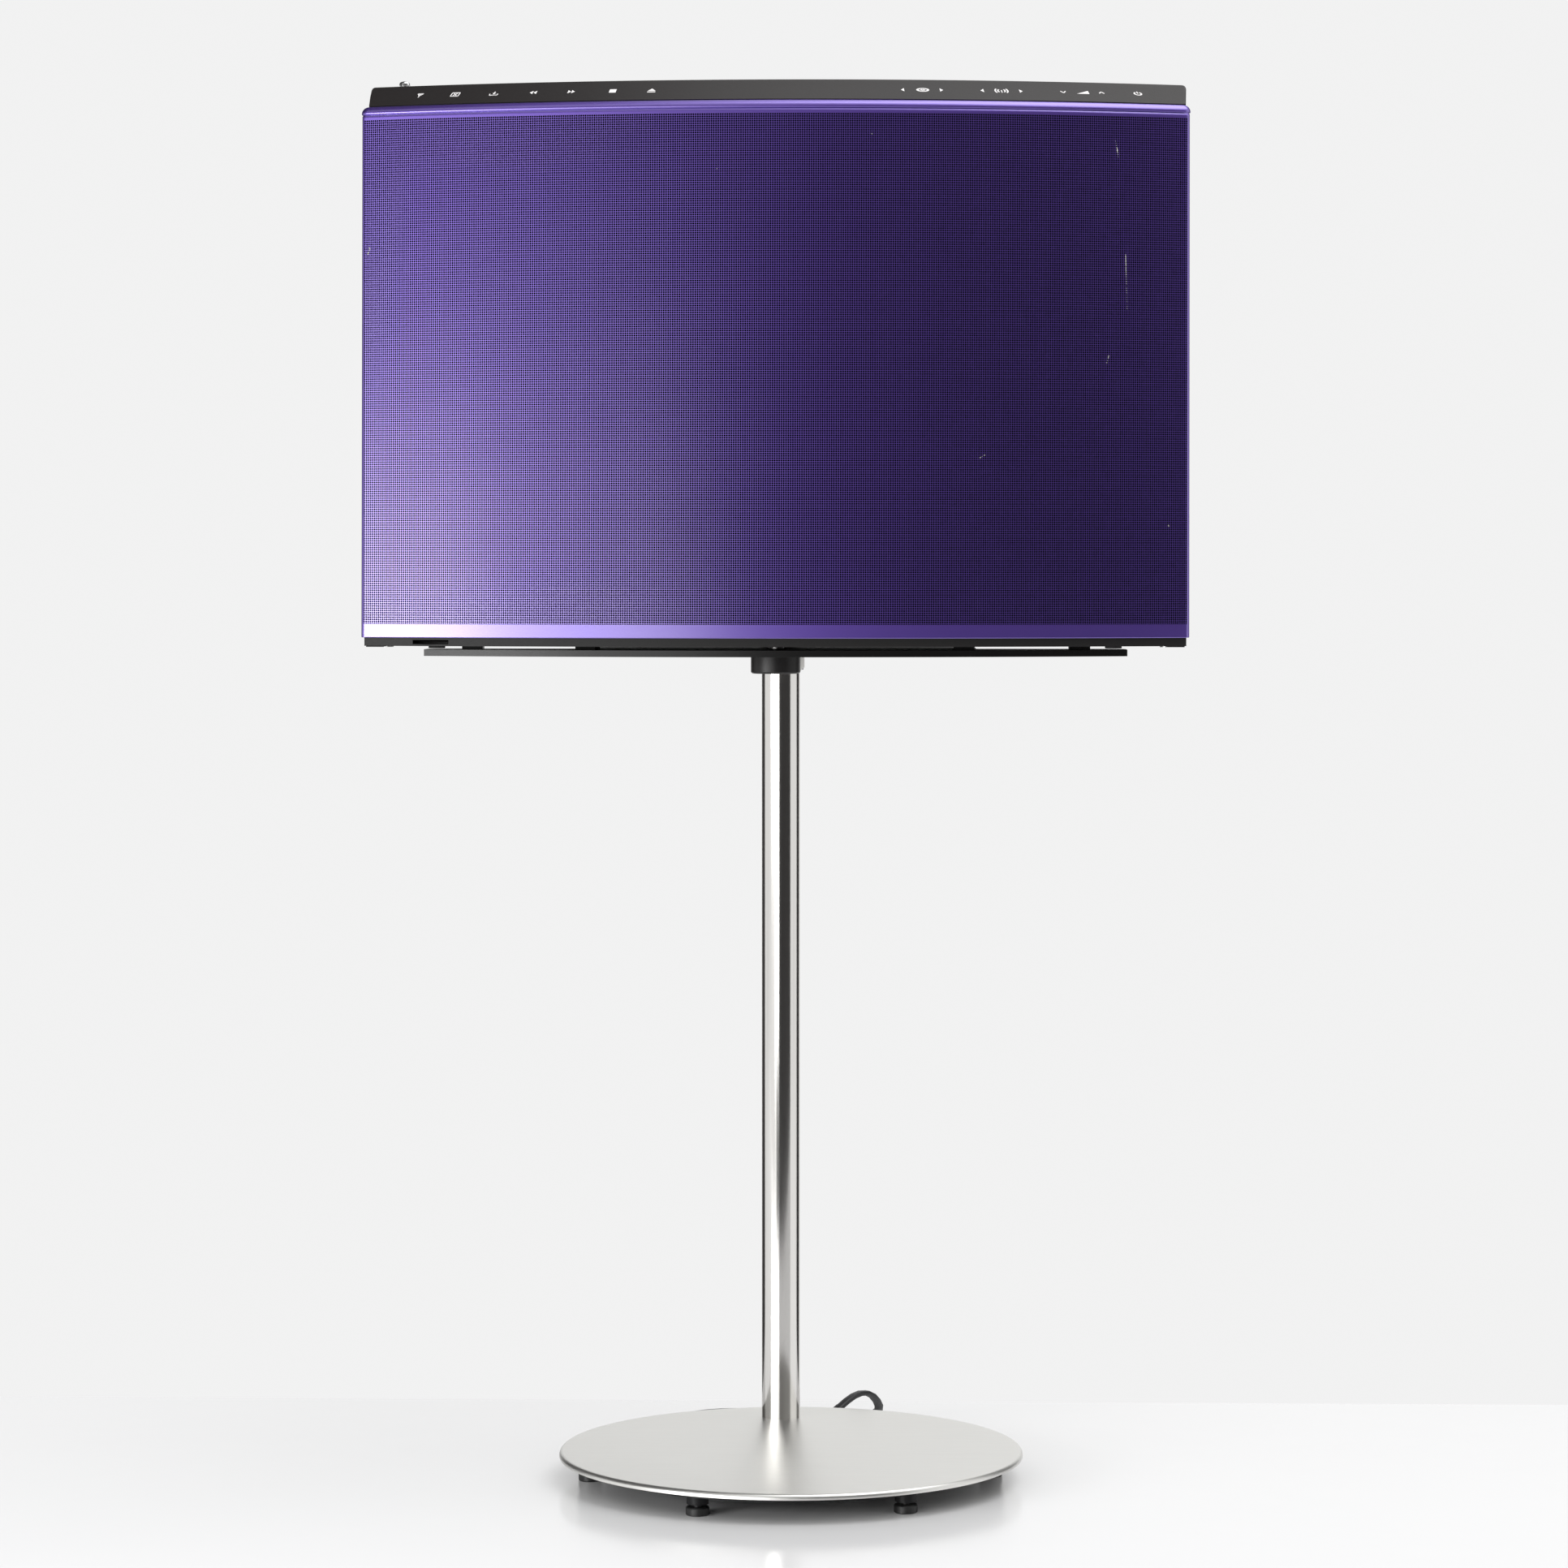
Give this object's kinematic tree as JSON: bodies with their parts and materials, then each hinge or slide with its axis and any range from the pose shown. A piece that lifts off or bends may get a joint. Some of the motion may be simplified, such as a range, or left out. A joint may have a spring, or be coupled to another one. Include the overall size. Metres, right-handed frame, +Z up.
{
  "type": "compact music system",
  "caption": "Compact CD and radio music system: bowed perforated cabinet on a swivelling plate, carried by a slim pole on a round base, with a motor-driven disc lid at the back.",
  "frame": {"origin": "on the floor under the centre of the round base", "axes": "+Z up; the perforated front faces -Y; +X is to the viewer's right from the front; the pole stands behind the centre, towards +Y"},
  "size_m": [0.451, 0.3216, 0.7705],
  "materials": {
    "base_metal": "fine circular brushed satin",
    "black_iron": "black painted",
    "pole_metal": "satin ground along its length, near to polish",
    "steel": "zinc plated",
    "bearing_plastic": "moulded acetal",
    "black_plastic": "fine moulded texture",
    "lead_rubber": "smooth dull PVC",
    "rubber": "dull",
    "plug_plastic": "moulded PVC with nickel pins",
    "foot_plastic": "moulded, with a steel screw",
    "arm_metal": "bead blasted",
    "black_steel": "satin black powder coat",
    "cabinet_plastic": "fine spark texture",
    "purple_aluminium": "purple anodised, perforated with small square-set holes",
    "black_cloth": "fine acoustic knit",
    "baffle_plastic": "moulded with ribs",
    "cone_paper": "coated paper with a rubber surround",
    "magnet_iron": "ferrite between zinc plates",
    "tweeter_plastic": "moulded with a soft dome",
    "panel_black": "satin charcoal with fine grey symbols",
    "circuit_board": "green lacquered laminate",
    "drive_plastic": "moulded",
    "motor_metal": "plated can",
    "transformer_iron": "lacquered laminations and tape",
    "aerial_chrome": "bright plated",
    "lid_plastic": "smoked, polished",
    "clamp_plastic": "moulded with a steel disc",
    "gear_plastic": "natural acetal",
    "handle_metal": "satin anodised"
  },
  "bodies": {
    "stand": {"base_disc": "base_metal", "ballast_plate": "black_iron", "pole": "pole_metal", "pole_nut": "steel", "pole_bush": "bearing_plastic", "pole_cap": "black_plastic", "lead_in_pole": "lead_rubber", "cable_outlet": "rubber", "mains_lead": "lead_rubber", "lead_coil": "lead_rubber", "cable_tie": "black_plastic", "mains_plug": "plug_plastic"},
    "foot_1": {"levelling_foot_1": "foot_plastic"},
    "foot_2": {"levelling_foot_2": "foot_plastic"},
    "foot_3": {"levelling_foot_3": "foot_plastic"},
    "foot_4": {"levelling_foot_4": "foot_plastic"},
    "foot_5": {"levelling_foot_5": "foot_plastic"},
    "foot_6": {"levelling_foot_6": "foot_plastic"},
    "head": {"swivel_arm": "arm_metal", "arm_nose_cap": "black_plastic", "carrier_plate": "black_steel", "plate_screws": "steel", "plate_pads": "rubber", "locating_pegs": "black_plastic", "bottom_pan": "cabinet_plastic", "corner_blocks": "rubber", "cabinet_feet": "rubber", "front_grille": "purple_aluminium", "grille_cloth": "black_cloth", "front_baffle": "baffle_plastic", "left_woofer_frame": "black_steel", "right_woofer_frame": "black_steel", "left_woofer_cone": "cone_paper", "right_woofer_cone": "cone_paper", "left_woofer_magnet": "magnet_iron", "right_woofer_magnet": "magnet_iron", "left_tweeter": "tweeter_plastic", "right_tweeter": "tweeter_plastic", "bass_ports": "black_plastic", "control_panel": "panel_black", "touch_board": "circuit_board", "rear_cabinet": "cabinet_plastic", "cabinet_screws": "steel", "drive_chassis": "drive_plastic", "guide_rods": "steel", "drive_motors": "motor_metal", "main_board": "circuit_board", "power_transformer": "transformer_iron", "heat_sink": "arm_metal", "socket_panel": "black_plastic", "aerial_tube": "aerial_chrome"},
    "lid": {"cd_lid": "lid_plastic"},
    "clamp": {"disc_clamp": "clamp_plastic"},
    "pinion": {"lid_pinion": "gear_plastic"},
    "platter": {"turntable": "drive_plastic"},
    "sled": {"laser_sled": "drive_plastic"},
    "sled_drive": {"sled_gear": "gear_plastic"},
    "handle": {"carry_handle": "handle_metal"},
    "aerial_section": {"aerial_lower": "aerial_chrome"},
    "aerial_end": {"aerial_tip": "aerial_chrome"}
  },
  "joints": [
    {"name": "head_swivel", "type": "hinge", "parent": "stand", "child": "head", "pos_m": [0, 0.09663, 0.45], "axis": [0, 0, 1], "range_deg": [-25, 35]},
    {"name": "foot_1_screw", "type": "slide", "parent": "stand", "child": "foot_1", "axis": [0, 0, 1], "range_m": [-0.003, 0]},
    {"name": "foot_2_screw", "type": "slide", "parent": "stand", "child": "foot_2", "axis": [0, 0, 1], "range_m": [-0.003, 0]},
    {"name": "foot_3_screw", "type": "slide", "parent": "stand", "child": "foot_3", "axis": [0, 0, 1], "range_m": [-0.003, 0]},
    {"name": "foot_4_screw", "type": "slide", "parent": "stand", "child": "foot_4", "axis": [0, 0, 1], "range_m": [-0.003, 0]},
    {"name": "foot_5_screw", "type": "slide", "parent": "stand", "child": "foot_5", "axis": [0, 0, 1], "range_m": [-0.003, 0]},
    {"name": "foot_6_screw", "type": "slide", "parent": "stand", "child": "foot_6", "axis": [0, 0, 1], "range_m": [-0.003, 0]},
    {"name": "lid_hinge", "type": "hinge", "parent": "head", "child": "lid", "pos_m": [0, 0.09294, 0.53322], "axis": [-1, 0, 0], "range_deg": [0, 65]},
    {"name": "clamp_spin", "type": "hinge", "parent": "lid", "child": "clamp", "pos_m": [0, 0.07334, 0.60253], "axis": [0, 0.9694, 0.2453], "continuous": true},
    {"name": "pinion_spin", "type": "hinge", "parent": "head", "child": "pinion", "pos_m": [-0.0635, 0.06851, 0.52704], "axis": [-1, 0, 0], "range_deg": [-195, 0]},
    {"name": "turntable_spin", "type": "hinge", "parent": "head", "child": "platter", "pos_m": [0, 0.06752, 0.60106], "axis": [0, 0.9694, 0.2453], "continuous": true},
    {"name": "sled_slide", "type": "slide", "parent": "head", "child": "sled", "axis": [-1, 0, 0], "range_m": [0, 0.033]},
    {"name": "sled_gear_spin", "type": "hinge", "parent": "head", "child": "sled_drive", "pos_m": [-0.029, 0.065, 0.57432], "axis": [0, 0.9694, 0.2453], "range_deg": [-300.2, 0]},
    {"name": "handle_swing", "type": "hinge", "parent": "head", "child": "handle", "pos_m": [0, 0.05111, 0.74338], "axis": [1, 0, 0], "range_deg": [0, 150]},
    {"name": "aerial_draw", "type": "slide", "parent": "head", "child": "aerial_section", "axis": [0, 0, 1], "range_m": [0, 0.19]},
    {"name": "aerial_tip_draw", "type": "slide", "parent": "aerial_section", "child": "aerial_end", "axis": [0, 0, 1], "range_m": [0, 0.19]}
  ],
  "couplings": [
    {"joint": "pinion_spin", "follows": "lid_hinge", "ratio": -3},
    {"joint": "clamp_spin", "follows": "turntable_spin", "ratio": 1},
    {"joint": "sled_gear_spin", "follows": "sled_slide", "rad_per_m": -158.73}
  ]
}
